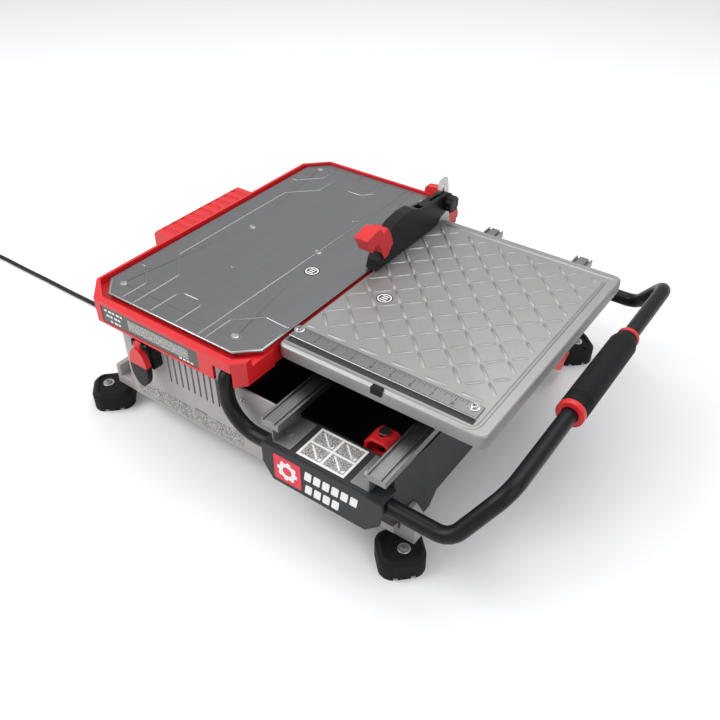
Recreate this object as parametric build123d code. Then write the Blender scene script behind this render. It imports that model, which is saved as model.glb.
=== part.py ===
from build123d import *
import os
from math import cos, pi, radians, sin, tan

os.makedirs("parts", exist_ok=True)

# Working frame: X = 0 is the deck side of the blade slit, Y grows from the operator
# to the back, Z = 0 is the cutting surface.  Everything is shifted when it is saved, so
# that the origin ends up on the floor under the middle of the saw.

# ---- driving dimensions (mm) -------------------------------------------------
floor_z = -190.0
fit_gap = 0.3                  # running gap between separate bodies

base_left, base_right = -229.0, 192.0
base_front, base_back = -80.0, 390.0
base_bottom, base_wall = -152.0, 3.0
base_top_left = -30.5          # under the deck tray
base_top_right = -56.0         # under the rails
bay_wall_x = -40.0             # wall between motor bay and water pan

tray_left, tray_right = -263.0, -1.2
tray_front, tray_back = -101.0, 370.0
tray_top, tray_bottom = 3.0, -30.0
tray_chamfer = 31.0
deck_left, deck_right = -253.5, -1.0
deck_front, deck_back = -81.0, 364.5
deck_chamfer = 24.0
deck_thick = 2.0
deck_screw_spots = [(-231.5, -55), (-44.5, -55), (-81, 145), (-196, 145), (-231.5, 343), (-44.5, 343)]

table_left, table_right = 3.0, 268.0
table_front, table_back = -38.0, 320.0
table_skirt = -17.0
ruler_front, ruler_back, ruler_right = -19.5, 2.0, 246.0
ruler_bolt_x = (9.4, 236.9)
stop_left, stop_right = 132.0, 146.0

rail_x = (46.0, 186.0)
rail_front, rail_back = -106.0, 410.0
rail_top, rail_height, rail_half = -45.0, 10.0, 12.0
roller_r, roller_width = 10.0, 10.0
roller_y = (95.0, 250.0)
roller_z = rail_top + roller_r + fit_gap

blade_x, blade_y, blade_z = 1.0, 232.0, -46.0
blade_r, blade_thick, arbor_r = 89.0, 1.8, 7.9
knife_thick = 1.4
guard_left, guard_right = -7.0, 9.0
pivot_y, pivot_z = 320.0, 26.0  # guard bolt

tube_r = 9.5
tube_front, tube_back, tube_low = -98.0, 411.0, -88.0
handle_x, handle_z = 309.5, -30.0
handle_front, handle_back = -60.0, 380.0
grip_front, grip_back, grip_r = 76.0, 246.0, 16.5

foot_half, foot_round, foot_top = 27.0, 17.0, -165.0
foot_x = (-275.0, 208.8)       # bolts
foot_y = (-82.0, 380.0)
leg_end_x = (-266.0, 215.0)     # outer faces of the front legs
pad_x, pad_y = (-268.5, 203.0), (-80.5, 379.0)         # middles of the pads, set cornerwise

drain_y, drain_z, drain_r = 306.0, -143.5, 4.4

cord_r = 3.4
cord_exit_y, cord_exit_z = 50.0, -118.0
coil_mid_r, coil_x, coil_y = 38.0, -790.0, 10.0

skirt_left, skirt_right, skirt_back = 36.0, 175.5, -52.0
skirt_top, skirt_thick = -76.0, 2.3

nodes = {}                     # node name -> shape, in the working frame
cord_names = ("cord_tube", "cord_coil", "power_plug")


# ---- small makers ------------------------------------------------------------
def block(x0, x1, y0, y1, z0, z1):
    return Pos((x0 + x1) / 2, (y0 + y1) / 2, (z0 + z1) / 2) * Box(x1 - x0, y1 - y0, z1 - z0)


def slab(points, z0, z1):
    face = make_face(Polyline(*[(x, y, z0) for x, y in points], close=True))
    return extrude(face, z1 - z0, dir=(0, 0, 1))


def across(points, x0, x1):
    """Outline of (y, z) points, extruded along X."""
    face = make_face(Polyline(*[(x0, y, z) for y, z in points], close=True))
    return extrude(face, x1 - x0, dir=(1, 0, 0))


def along(points, y0, y1):
    """Outline of (x, z) points, extruded along Y."""
    face = make_face(Polyline(*[(x, y0, z) for x, z in points], close=True))
    return extrude(face, y1 - y0, dir=(0, 1, 0))


def rod_x(x0, x1, y, z, r):
    return Pos((x0 + x1) / 2, y, z) * Rot(0, 90, 0) * Cylinder(r, x1 - x0)


def rod_y(x, y0, y1, z, r):
    return Pos(x, (y0 + y1) / 2, z) * Rot(90, 0, 0) * Cylinder(r, y1 - y0)


def rod_z(x, y, z0, z1, r):
    return Pos(x, y, (z0 + z1) / 2) * Cylinder(r, z1 - z0)


def group(shapes):
    return Compound(children=list(shapes))


def corner_cut(left, right, front, back, cut):
    """Deck outline: rectangle with three cut corners, square at the back right."""
    return [(left, front + cut), (left + cut, front), (right - cut, front), (right, front + cut),
            (right, back), (left + cut, back), (left, back - cut)]


# ---- base --------------------------------------------------------------------
def make_base_shell():
    w = base_wall
    low = block(base_left, base_right, base_front, base_back, base_bottom, base_top_right)
    high = block(base_left, bay_wall_x, base_front, base_back, base_bottom, base_top_left)
    shell = low + high
    shell = fillet(shell.edges().filter_by(Axis.Z).group_by(Axis.X)[0], 12)
    bay = block(base_left + w, bay_wall_x - w, base_front + w, base_back - w, base_bottom + w, 10)
    pan = block(bay_wall_x, base_right - w, base_front + w, base_back - w, base_bottom + w, 10)
    shell = shell - bay - pan
    for x in rail_x:                                   # seats for the rails
        shell -= block(x - rail_half - 0.2, x + rail_half + 0.2, base_front - 5, base_back + 5,
                       rail_top - rail_height - 0.2, 10)
    for i in range(9):                                 # cooling louvres
        x = -141.0 + 10.2 * i
        shell -= block(x - 1.5, x + 1.5, base_front - 2, base_front + w + 2, -98, -44)
    shell -= rod_x(bay_wall_x - w - 1, bay_wall_x + 1, blade_y, blade_z, 14)
    shell += block(bay_wall_x + 0.2, rail_x[0] - rail_half - 0.2, base_front, base_front + w,
                   base_top_right, -49)
    shell -= block(skirt_left - 2, base_right + 1, base_front - 1, base_front + w + 0.1, skirt_top - 2.5, 10)
    shell -= rod_x(base_right - w - 1, base_right + 1, drain_y, drain_z, drain_r + 0.1)
    return shell - rod_x(base_left - 1, base_left + w + 1, cord_exit_y, cord_exit_z, 7.0)


def make_water_pan():
    x0, x1 = bay_wall_x + 0.3, base_right - base_wall - 0.3
    y0, y1 = base_front + base_wall + 0.3, base_back - base_wall - 0.3
    z0 = base_bottom + base_wall + 0.2
    outer = block(x0, x1, y0, y1, z0, -64)
    inner = block(x0 + 2.5, x1 - 2.5, y0 + 2.5, y1 - 2.5, z0 + 2.5, -50)
    return outer - inner - block(skirt_left - 2, x1 + 1, y0 - 1, y0 + 2.6, skirt_top - 2.6, -50)


def make_front_shelf():
    """Flat shelf over the front tube, from behind the badge plate to the edge of the pan."""
    y0, z0 = tube_front - tube_r - 0.1, skirt_top - skirt_thick
    shelf = block(skirt_left, skirt_right, y0, skirt_back, z0, skirt_top)
    shelf += block(skirt_right, skirt_right + 22, y0, base_front - 3.4, z0, skirt_top)
    return shelf + block(skirt_left, skirt_right, skirt_back - 2.3, skirt_back, skirt_top - 24, z0)


def make_right_panel():
    """Dark cover round the front right corner and along the right wall."""
    corner = [(178, base_front - 3), (194, base_front - 3), (199, -24), (199, base_back - 6),
              (base_right + 0.1, base_back - 6), (base_right + 0.1, base_front - 0.1), (178, base_front - 0.1)]
    side = [(base_front - 4, -58), (base_back, -58), (base_back, -141), (base_back - 20, -149.5),
            (1, -149.5), (-14, foot_top + 0.3), (base_front + 26, foot_top + 0.3), (base_front + 20, -138),
            (base_front - 4, -138)]
    panel = slab(corner, foot_top, -50) & across(side, 170, 210)
    panel -= block(base_right + 3, 230, base_front + 8.7, base_front + 34.3, foot_top - 1, -124.7)
    panel -= block(160, 230, base_front + 8.6, base_front + 34.4, foot_top - 1, base_bottom + 0.2)
    return panel - rod_x(base_right, base_right + 9, drain_y, drain_z, drain_r + 0.1)


def make_leg(x, y):
    """Light corner leg; the front ones rise outside the wall, the rear ones stay under it."""
    side = -1 if x < 0 else 1
    end = -1 if y < 0 else 1
    wall_x = base_left if x < 0 else base_right
    near, toe = wall_x + side * 3.3, wall_x - side * 24
    y0, y1 = sorted((y - end * 36, y - end * 11))
    leg = block(min(toe, near), max(toe, near), y0, y1, foot_top + 0.2, base_bottom - 0.1)
    if end > 0:
        return leg
    if side < 0:                                       # low strut with one upright rib
        far = leg_end_x[0]
        strut = block(far, near, y0, y1, foot_top + 0.2, -151)
        return leg + strut + block(far + 1, far + 8, y0, y1, -151, -134)
    far = leg_end_x[1]
    post = block(min(near, far), max(near, far), y0, y1, foot_top + 0.2, -128)
    crown = post.edges().filter_by(Axis.Y).group_by(Axis.Z)[-1].sort_by(Axis.X)
    return leg + chamfer(crown[-1], 14)


def make_foot(i, k):
    """Rubber pad set cornerwise, with a dished top where the bolt sits."""
    x, y = pad_x[i], pad_y[k]
    end = -1 if y < 0 else 1
    place = Pos(x, y, 0) * Rot(0, 0, 45)
    body = block(-foot_half, foot_half, -foot_half, foot_half, floor_z, foot_top + 2)
    body = fillet(body.edges().filter_by(Axis.Z), foot_round)
    body = chamfer(body.edges().group_by(Axis.Z)[-1], 5)
    dish = block(8 - foot_half, foot_half - 8, 8 - foot_half, foot_half - 8, foot_top, floor_z + 40)
    body -= fillet(dish.edges().filter_by(Axis.Z), 9)
    for step in (-10, 10):                             # notches at the bottom edge
        body -= block(step - 3, step + 3, -foot_half - 1, foot_half + 1, floor_z - 1, floor_z + 4)
    body = place * body
    under_leg = sorted((foot_y[k] - end * 9, foot_y[k] - end * 60))
    body -= block(-400, 400, *under_leg, foot_top, floor_z + 40)
    return body - rod_z(foot_x[i], foot_y[k], foot_top - 10, foot_top + 1, 2.6)


def make_foot_bolts():
    bolts = []
    for x in foot_x:
        for y in foot_y:
            washer = rod_z(x, y, foot_top, foot_top + 1.5, 7.5)
            head = rod_z(x, y, foot_top + 1.5, foot_top + 3.5, 4.6)
            bolts.append(rod_z(x, y, foot_top - 9.8, foot_top, 2.5) + washer + head)
    return bolts


# ---- deck --------------------------------------------------------------------
def make_deck_tray():
    c = tray_chamfer
    outline = [(tray_left, tray_front + c), (tray_left + c, tray_front), (-11, tray_front),
               (1.5, tray_front + 14), (1.5, table_front - 4), (tray_right, table_front - 4),
               (tray_right, tray_back), (tray_left + c, tray_back), (tray_left, tray_back - c)]
    pocket = [(tray_left + 4, tray_front + c + 2), (tray_left + c + 6, tray_front + 9),
              (-15, tray_front + 9), (3, tray_front + 24), (3, tray_back - 3.5),
              (tray_left + c + 2, tray_back - 3.5), (tray_left + 4, tray_back - c - 2)]
    hollow = [(tray_left + 4, tray_front + c + 2), (tray_left + c + 2, tray_front + 4), (-14, tray_front + 4),
              (-4.5, tray_front + 18), (-4.5, tray_back - 4), (tray_left + c + 2, tray_back - 4),
              (tray_left + 4, tray_back - c - 2)]
    ledge = corner_cut(deck_left + 8, deck_right - 2, deck_front + 8, deck_back - 6, deck_chamfer - 4)
    inner = corner_cut(deck_left + 20, deck_right - 14, deck_front + 20, deck_back - 18, deck_chamfer - 6)
    tray = slab(outline, tray_bottom, tray_top)
    tray -= slab(pocket, -7, tray_top + 1)
    tray -= slab(hollow, tray_bottom - 1, -9.5)
    tray += slab(ledge, -8, -deck_thick - 0.2) - slab(inner, -7, 0)
    for x, y in deck_screw_spots:
        tray += rod_z(x, y, -8, -deck_thick - 0.2, 8)
        tray -= rod_z(x, y, -7.6, 0, 2.15)
    tray -= block(-38, -10, tray_front - 1, tray_front + 5, tray_bottom - 1, -9.5)     # tube notch
    tray -= block(-222, -60, tray_front - 1, tray_front + 1, -27, -2)                  # label recess
    tray -= block(-6, 5, 130, 345, tray_bottom - 1, -14)                               # room for the flange
    return tray


def make_deck_plate():
    plate = slab(corner_cut(deck_left, deck_right, deck_front, deck_back, deck_chamfer), -deck_thick, 0)
    for x, y in deck_screw_spots:
        plate -= rod_z(x, y, -3, 1, 2.2)
        plate -= Pos(x, y, -0.7) * Cone(2.2, 4.6, 1.5)
    return plate


def make_deck_screws():
    return [rod_z(x, y, -7.5, -1.3, 2.1) + Pos(x, y, -0.8) * Cone(2.1, 4.2, 1.3) for x, y in deck_screw_spots]


def make_side_handle():
    x0, x1, y0, y1 = -302.0, tray_left - 0.1, 60.0, 225.0
    body = block(x0, x1, y0, y1, -31, -1)
    body = chamfer(body.edges().filter_by(Axis.Y).group_by(Axis.Z)[-1].sort_by(Axis.X)[0], 5)
    body -= block(x0 + 5, x1 - 5, y0 + 6, y1 - 6, -32, -6)
    for i in range(9):
        y = y0 + 14 + i * (y1 - y0 - 28) / 8
        body -= block(x0 + 7, x1 - 6, y - 3.5, y + 3.5, -2.5, 0)
    return body


def make_rear_hump():
    outline = [(-58, -28), (-58, 9), (-54, 13), (-38, 15), (-18, 6), (-8, -6), (-4, -20), (-4, -28)]
    return along(outline, tray_back + 0.2, tray_back + 11)


# ---- rails and sliding table ---------------------------------------------------
def make_rail(x):
    z0 = rail_top - rail_height
    rail = block(x - rail_half, x + rail_half, rail_front, rail_back, z0, rail_top)
    for side in (-1, 1):                               # dirt grooves beside the roller track
        rail -= block(x + side * 8 - 1.5, x + side * 8 + 1.5, rail_front - 1, rail_back + 1, rail_top - 3,
                      rail_top + 1)
    return rail


bracket_span = ((46.0, 71.5), (152.0, 176.5))          # front tabs, left and right
front_screws = ((55.5, -84.8), (162.0, -84.8))


def make_rail_brackets():
    tabs = []
    for (x0, x1), (screw_x, screw_y), upright in zip(bracket_span, front_screws, (46.0, 174.5)):
        tab = block(x0, x1, -104, -56, skirt_top + 0.05, skirt_top + 2)
        tab += block(upright, upright + 2, -104, -56, skirt_top + 2, rail_top - rail_height - 0.05)
        tabs.append(tab - rod_z(screw_x, screw_y, -80, -50, 2.6))
    for x, side in ((rail_x[0], 1), (rail_x[1], -1)):
        y = base_back - 24
        near, far = x + side * (rail_half + 0.1), x + side * (rail_half + 26)
        tab = block(min(near, far), max(near, far), y - 14, y + 14, -59.7, -57.2)
        tabs.append(tab - rod_z(x + side * 26, y, -62, -50, 2.6))
    return tabs


def make_rail_screws():
    screws = []
    for x, y in front_screws:
        screws.append(rod_z(x, y, skirt_top + 2.1, skirt_top + 4.4, 4.4)
                      + rod_z(x, y, skirt_top + 0.2, skirt_top + 2.2, 2.5))
    for x, side in ((rail_x[0], 1), (rail_x[1], -1)):
        at = (x + side * 26, base_back - 24)
        screws.append(rod_z(*at, -63, -57, 2.5) + rod_z(*at, -57.1, -54, 4.5) + rod_z(*at, -63.5, -59.8, 4.2))
    return screws


def make_slide_table():
    table = block(table_left, table_right, table_front, table_back, table_skirt, 0)
    table = fillet(table.edges().filter_by(Axis.Z), 11)
    table -= block(table_left + 3, table_right - 3, table_front + 3, table_back - 3, table_skirt - 1, -3)
    return table - block(table_left - 1, table_right + 1, table_front + 8, table_front + 10.5, -1.2, 1)


def make_ruler():
    strip = block(table_left + 2.5, ruler_right, ruler_front, ruler_back, 0.05, 2.2)
    strip = chamfer(strip.edges().filter_by(Axis.X).group_by(Axis.Z)[-1], 0.6)
    for x in ruler_bolt_x:
        strip -= rod_z(x, -5.2, -1, 3, 2.3)
    return strip


def make_ruler_bolts():
    bolts = []
    for x in ruler_bolt_x:
        cap = rod_z(x, -5.2, 2.2, 4.6, 4.6) - rod_z(x, -5.2, 3.2, 5, 2.2)
        bolts.append(cap + rod_z(x, -5.2, 0.05, 2.2, 2.2))
    return bolts


def make_table_stop():
    """Small clip over the front lip of the table."""
    top = block(stop_left, stop_right, table_front - 2, table_front + 5, 0.05, 1.6)
    return top + block(stop_left, stop_right, table_front - 2, table_front - 0.05, -7, 1)


def make_carriage(x):
    """Two cheeks and a bridge under the table, with room for the rollers between them."""
    y0, y1 = roller_y[0] - 16, roller_y[1] + 16
    frame = block(x - 10, x + 10, y0, y1, -20.5, -3.1)
    for side in (-1, 1):
        frame += block(x + side * 8 - 2, x + side * 8 + 2, y0, y1, -40, -20.5)
    for y in roller_y:
        frame -= rod_x(x - 11, x + 11, y, roller_z, 3.0)
        frame -= block(x - 6, x + 6, y - roller_r - 1.5, y + roller_r + 1.5, -41, roller_z + roller_r + 1.5)
    return frame


def make_roller(x, y):
    wheel = rod_x(x - roller_width / 2, x + roller_width / 2, y, roller_z, roller_r)
    for side in (-1, 1):
        wheel -= rod_x(x + side * 5 - 1.5, x + side * 5 + 1.5, y, roller_z, 7) \
            - rod_x(x + side * 5 - 2, x + side * 5 + 2, y, roller_z, 4.6)
    return wheel - rod_x(x - 6, x + 6, y, roller_z, 3.05)


def make_roller_axles(x):
    return [rod_x(x - 10, x + 10, y, roller_z, 3.0) + rod_x(x + 10, x + 11.5, y, roller_z, 4.5)
            + rod_x(x - 11.5, x - 10, y, roller_z, 4.5) for y in roller_y]


# ---- motor, arbor and blade ---------------------------------------------------
motor_r = 35.0
motor_left, motor_right = -190.0, -60.0


def make_motor_housing():
    shell = rod_x(motor_left, motor_right, blade_y, blade_z, motor_r)
    shell -= rod_x(motor_left - 1, motor_right - 4, blade_y, blade_z, motor_r - 3)
    shell -= rod_x(motor_right - 5, motor_right + 1, blade_y, blade_z, 11.05)
    for side in (-1, 1):                               # mounting feet on the floor of the motor bay
        shell += block(-150, -100, blade_y + side * 28 - 6, blade_y + side * 28 + 6,
                       base_bottom + base_wall + 0.1, blade_z - 20) \
            - rod_x(motor_left - 1, motor_right, blade_y, blade_z, motor_r - 2)
    return shell


def make_motor_cap():
    cap = rod_x(motor_left - 12, motor_left - 0.1, blade_y, blade_z, motor_r)
    return cap - rod_x(motor_left - 8, motor_left, blade_y, blade_z, 11.05)


def make_stator():
    ring = rod_x(-165, -95, blade_y, blade_z, motor_r - 3.1)
    return ring - rod_x(-166, -94, blade_y, blade_z, 22)


def make_bearing(x):
    outer = rod_x(x, x + 7, blade_y, blade_z, 11.0) - rod_x(x - 1, x + 8, blade_y, blade_z, 9.0)
    inner = rod_x(x, x + 7, blade_y, blade_z, 6.0) - rod_x(x - 1, x + 8, blade_y, blade_z, 4.05)
    return outer + inner + rod_x(x + 1, x + 6, blade_y, blade_z, 9.0) - rod_x(x, x + 7, blade_y, blade_z, 4.05)


def make_brushes():
    return [block(-88, -78, blade_y + side * 20 - 5, blade_y + side * 20 + 5, blade_z - 4, blade_z + 4)
            + block(-92, -74, blade_y + side * 28 - 3.2, blade_y + side * 28 + 3.2, blade_z - 6, blade_z + 6)
            for side in (-1, 1)]


def make_rotor():
    return rod_x(-162, -98, blade_y, blade_z, 21.3) + rod_x(-90, -76, blade_y, blade_z, 13) \
        - rod_x(-170, -70, blade_y, blade_z, 8)


def make_arbor():
    shaft = rod_x(-170, -70, blade_y, blade_z, 8.0)
    for x0, x1, r in ((-197, -170, 4.0), (-70, -55, 4.0), (-55, 24, arbor_r)):
        shaft += rod_x(x0, x1, blade_y, blade_z, r)
    return shaft


def make_blade():
    disc = rod_x(blade_x - blade_thick / 2, blade_x + blade_thick / 2, blade_y, blade_z, blade_r)
    return disc - rod_x(blade_x - 2, blade_x + 2, blade_y, blade_z, arbor_r + 0.03)


def make_flange(x0, x1):
    ring = rod_x(x0, x1, blade_y, blade_z, 20)
    return ring - rod_x(x0 - 1, x1 + 1, blade_y, blade_z, arbor_r + 0.03)


def make_arbor_nut():
    nut = Pos(12.5, blade_y, blade_z) * Rot(0, 90, 0) * extrude(RegularPolygon(13.5, 6), 5, both=True)
    return nut - rod_x(0, 25, blade_y, blade_z, arbor_r + 0.03)


# ---- knife and guard ----------------------------------------------------------
def make_riving_knife():
    half = knife_thick / 2
    outline = [(326, -62), (346, -62), (346, -22), (339, 6), (334.5, 42), (331, 57), (324, 60.5),
               (310, 58.5), (306.5, 50), (307.5, 20), (313, 0), (321, -20), (326, -40)]
    knife = across(outline, blade_x - half, blade_x + half)
    slot = block(blade_x - 2, blade_x + 2, pivot_y - 2.6, pivot_y + 2.6, pivot_z - 6, pivot_z + 25)
    slot = fillet(slot.edges().filter_by(Axis.X), 2.5)
    return knife - slot - rod_x(-3, 4, 336, -54, 2.55) - rod_x(-3, 4, 336, -40, 2.55)


def make_knife_bracket():
    side = block(-12, blade_x - knife_thick / 2 - 0.05, 327, 345, -63, -33)
    arm = block(bay_wall_x + 0.1, -12, 327, 345, -63, -57.7)
    return side + arm - rod_x(-20, 4, 336, -54, 2.55) - rod_x(-20, 4, 336, -40, 2.55)


def make_knife_screws():
    return [rod_x(-10, blade_x + 0.75, 336, z, 2.5) + rod_x(blade_x + 0.75, 5, 336, z, 4.6) for z in (-54, -40)]


def guard_outline():
    return [(148, 2), (152, 14), (162, 30), (176, 44), (192, 51), (214, 54), (234, 52.5), (252, 44.5),
            (276, 41), (308, 39), (324, 38), (333, 34), (336, 26), (333, 17), (325, 13), (306, 9), (300, 2)]


def make_blade_guard():
    shell = across(guard_outline(), guard_left, guard_right)
    shell -= rod_x(blade_x - 4.5, blade_x + 4.5, blade_y, blade_z, blade_r + 5)
    shell -= block(blade_x - 2.0, blade_x + 2.0, 286, 340, -10, 60)
    return shell - rod_x(guard_left - 1, guard_right + 1, pivot_y, pivot_z, 2.55)


def make_guard_nose():
    outline = [(126, 55), (137, 34), (146, 41), (153, 38), (158, 24), (164, 13), (171, 14), (183, 27),
               (177, 44), (170, 54), (161, 50), (155, 60), (146, 60)]
    return across(outline, guard_left - 2.2, guard_right + 2.2) - across(guard_outline(), guard_left - 0.1,
                                                                         guard_right + 0.1)


def make_guard_bolt():
    head = rod_x(guard_left - 5, guard_left - fit_gap, pivot_y, pivot_z, 6)
    return head + rod_x(guard_left - fit_gap, 19, pivot_y, pivot_z, 2.5)


def make_guard_knob():
    body = rod_x(guard_right + fit_gap, guard_right + 12, pivot_y, pivot_z, 11.5)
    for i in range(8):
        turn = Rot(i * 45, 0, 0)
        dent = turn * (Pos(0, 12.6, 0) * Rot(0, 90, 0) * Cylinder(2.4, 40))
        body -= Pos(guard_right + 6, pivot_y, pivot_z) * dent
    return body - rod_x(guard_right - 1, guard_right + 14, pivot_y, pivot_z, 2.55)


# ---- roll cage ----------------------------------------------------------------
def make_roll_cage():
    points = [(-24, -50, -20), (-24, tube_front, -20), (-24, tube_front, tube_low), (270, tube_front, tube_low),
              (handle_x, handle_front, handle_z), (handle_x, handle_back, handle_z),
              (270, tube_back, tube_low), (-24, tube_back, tube_low), (-24, base_back + 0.2, tube_low)]
    path = FilletPolyline(*points, radius=[14, 42, 26, 34, 34, 26, 14])
    return sweep(Plane(origin=path @ 0, z_dir=path % 0) * Circle(tube_r), path=path)


def make_tube_clamps():
    front = block(-38, -10, -49.9, -42, -52, -9.7)
    back = block(-40, -8, base_back + 0.1, base_back + 5, tube_low - 18, tube_low + 18)
    return [front, back - rod_y(-24, base_back, base_back + 6, tube_low, tube_r + 0.05)]


def make_grip():
    sleeve = rod_y(handle_x, grip_front + 8, grip_back - 18, handle_z, grip_r)
    sleeve = chamfer(sleeve.edges(), 1.5)
    tail = Cone(grip_r - 1.5, grip_r - 3.2, 11.8)
    sleeve += Pos(handle_x, grip_back - 12.1, handle_z) * Rot(-90, 0, 0) * tail
    return sleeve - rod_y(handle_x, grip_front, grip_back, handle_z, tube_r + 0.05)


def make_grip_collars():
    rings = []
    for y0, y1, r in ((grip_front, grip_front + 7.9, grip_r), (grip_back - 5.9, grip_back, grip_r - 3)):
        rings.append(rod_y(handle_x, y0, y1, handle_z, r) - rod_y(handle_x, y0 - 1, y1 + 1, handle_z, tube_r + 0.05))
    return rings


def make_badge_plate():
    outline = [(skirt_left, skirt_top), (skirt_left, -105), (50, -127), (176, -127), (194, -110), (199, -84),
               (197.4, skirt_top)]
    return along(outline, tube_front - tube_r - 4.2, tube_front - tube_r - 0.2)


# ---- controls -----------------------------------------------------------------
switch_x, switch_z = -168.0, -67.5
pin_y, pin_z = base_front - 16.0, switch_z + 27.0


def make_switch_box():
    y1 = base_front - 0.1
    body = block(switch_x - 17, switch_x + 17, y1 - 11, y1, switch_z - 12, tray_bottom - 1)
    body = chamfer(body.edges().filter_by(Axis.Y).group_by(Axis.Z)[0], 5)
    body -= block(switch_x - 12, switch_x + 12, y1 - 12, y1 - 4, switch_z - 7, switch_z + 20)
    for side in (-1, 1):                               # ears that hold the paddle pin
        body += block(switch_x + side * 8 - 2, switch_x + side * 8 + 2, y1 - 20, y1 - 11, pin_z - 4.2, pin_z + 5)
    return body - rod_x(switch_x - 20, switch_x + 20, pin_y, pin_z, 1.6)


def make_switch_module():
    y1 = base_front - 4.2
    return block(switch_x - 8, switch_x + 8, y1 - 5, y1, switch_z - 6, switch_z + 18)


def make_paddle_pin():
    return rod_x(switch_x - 10, switch_x + 10, pin_y, pin_z, 1.58)


def paddle_oval():
    """Oval plate that the switch paddle is cut from, hanging in front of the box."""
    y0, middle_z, steps = base_front - 24, switch_z - 5.5, 32
    outline = [(switch_x + 15 * cos(2 * pi * i / steps), middle_z + 29 * sin(2 * pi * i / steps))
               for i in range(steps)]
    return along(outline, y0, y0 + 8)


def make_paddle_top():
    body = paddle_oval() & block(switch_x - 20, switch_x + 20, base_front - 30, base_front, switch_z - 2, pin_z)
    body += rod_x(switch_x - 5.5, switch_x + 5.5, pin_y, pin_z, 4.5)
    body += block(switch_x - 5.5, switch_x + 5.5, base_front - 21, base_front - 16, pin_z - 10, pin_z)
    return body - rod_x(switch_x - 20, switch_x + 20, pin_y, pin_z, 1.63)


def make_paddle_base():
    return paddle_oval() & block(switch_x - 20, switch_x + 20, base_front - 30, base_front, -120, switch_z - 2.1)


latch_x, latch_y, latch_z = 146.0, -30.5, -78.0


def make_latch_bracket():
    body = block(latch_x - 22, latch_x + 22, latch_y - 12, latch_y + 12, latch_z - 21.9, latch_z - 16)
    return body - rod_z(latch_x, latch_y, latch_z - 30, latch_z, 4.05)


def make_latch_post():
    return rod_z(latch_x, latch_y, latch_z - 21.8, latch_z + 14, 4.0) + rod_z(latch_x, latch_y, latch_z + 14,
                                                                             latch_z + 17, 6.5)


def make_table_latch():
    body = block(latch_x - 17, latch_x + 17, latch_y - 11, latch_y + 11, latch_z - 15.7, latch_z + 13.7)
    body = fillet(body.edges().filter_by(Axis.Y).group_by(Axis.Z)[-1], 8)
    body = fillet(body.edges().filter_by(Axis.Z), 4)
    return body - rod_z(latch_x, latch_y, latch_z - 20, latch_z + 20, 4.06)


def make_drain_plug():
    outline = [(287, -153), (321, -178), (330, -167), (344, -160), (329, -147), (308, -137), (294, -137)]
    lever = across(outline, 205, 213)
    lever = fillet(lever.edges().filter_by(Axis.X), 2)
    return lever + rod_x(base_right - 3, 205, drain_y, drain_z, drain_r)


# ---- power cord ----------------------------------------------------------------
cord_floor = floor_z + cord_r + 0.1
cord_route = [(base_left - 40, cord_exit_y, cord_exit_z), (-290, 50, -119), (-319, 51, -141), (-348, 50, -169),
              (-382, 49, -185), (-424, 49.5, cord_floor), (-474, 50.5, cord_floor), (-530, 50, cord_floor),
              (-590, 51, cord_floor), (-650, 50.5, cord_floor), (-706, 51.5, cord_floor),
              (-745, 50.4, cord_floor), (coil_x + 12, coil_y + 41.5, cord_floor)]
coil_outer, coil_inner = coil_mid_r + 2.2 * cord_r, coil_mid_r - 2.2 * cord_r
plug_x = coil_x - coil_mid_r + cord_r


def make_cord_tube():
    points = [Vector(*p) for p in cord_route]
    radii = []
    for before, at, after in zip(points, points[1:], points[2:]):
        turn = (at - before).get_angle(after - at)
        shorter = min((at - before).length, (after - at).length)
        radii.append(0.45 * shorter / tan(radians(turn) / 2))
    print("cord radii", [round(r) for r in radii])
    path = FilletPolyline(*points, radius=radii)
    tube = sweep(Plane(origin=path @ 0, z_dir=path % 0) * Circle(cord_r), path=path)
    print("cord tube length", round(path.length), "volume ratio",
          round(tube.volume / (path.length * pi * cord_r ** 2), 4))
    tube -= rod_z(coil_x, coil_y, floor_z - 1, floor_z + 30, coil_outer)
    return tube - block(base_left - 39.9, base_left, 30, 70, -130, -100)


def make_cord_coil():
    ring = rod_z(coil_x, coil_y, floor_z, floor_z + 6 * cord_r, coil_outer)
    return ring - rod_z(coil_x, coil_y, floor_z - 1, floor_z + 7 * cord_r, coil_inner)


def make_power_plug():
    """Plug beside the coil: its neck meets the outermost turn, its blades point away along -Y."""
    z, y1 = floor_z + 10, coil_y - 41
    neck = rod_y(plug_x, y1 - 1, coil_y - 28, z, 5.6)
    neck -= rod_z(coil_x, coil_y, floor_z - 1, floor_z + 30, coil_outer)
    body = block(plug_x - 12, plug_x + 12, y1 - 36, y1, floor_z, floor_z + 20)
    body = fillet(body.edges().filter_by(Axis.Y), 5)
    plug = neck + body
    for side in (-1, 1):
        blade_x0 = plug_x + side * 6.3
        plug += block(blade_x0 - 0.75, blade_x0 + 0.75, y1 - 52, y1 - 36, z - 3, z + 3)
    return plug


def make_strain_relief():
    body = Pos(base_left - 20, cord_exit_y, cord_exit_z) * Rot(0, -90, 0) * Cone(8.5, cord_r + 1.4, 39.6)
    return body + rod_x(base_left - 0.3, base_left + 6, cord_exit_y, cord_exit_z, 6.9)


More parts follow.
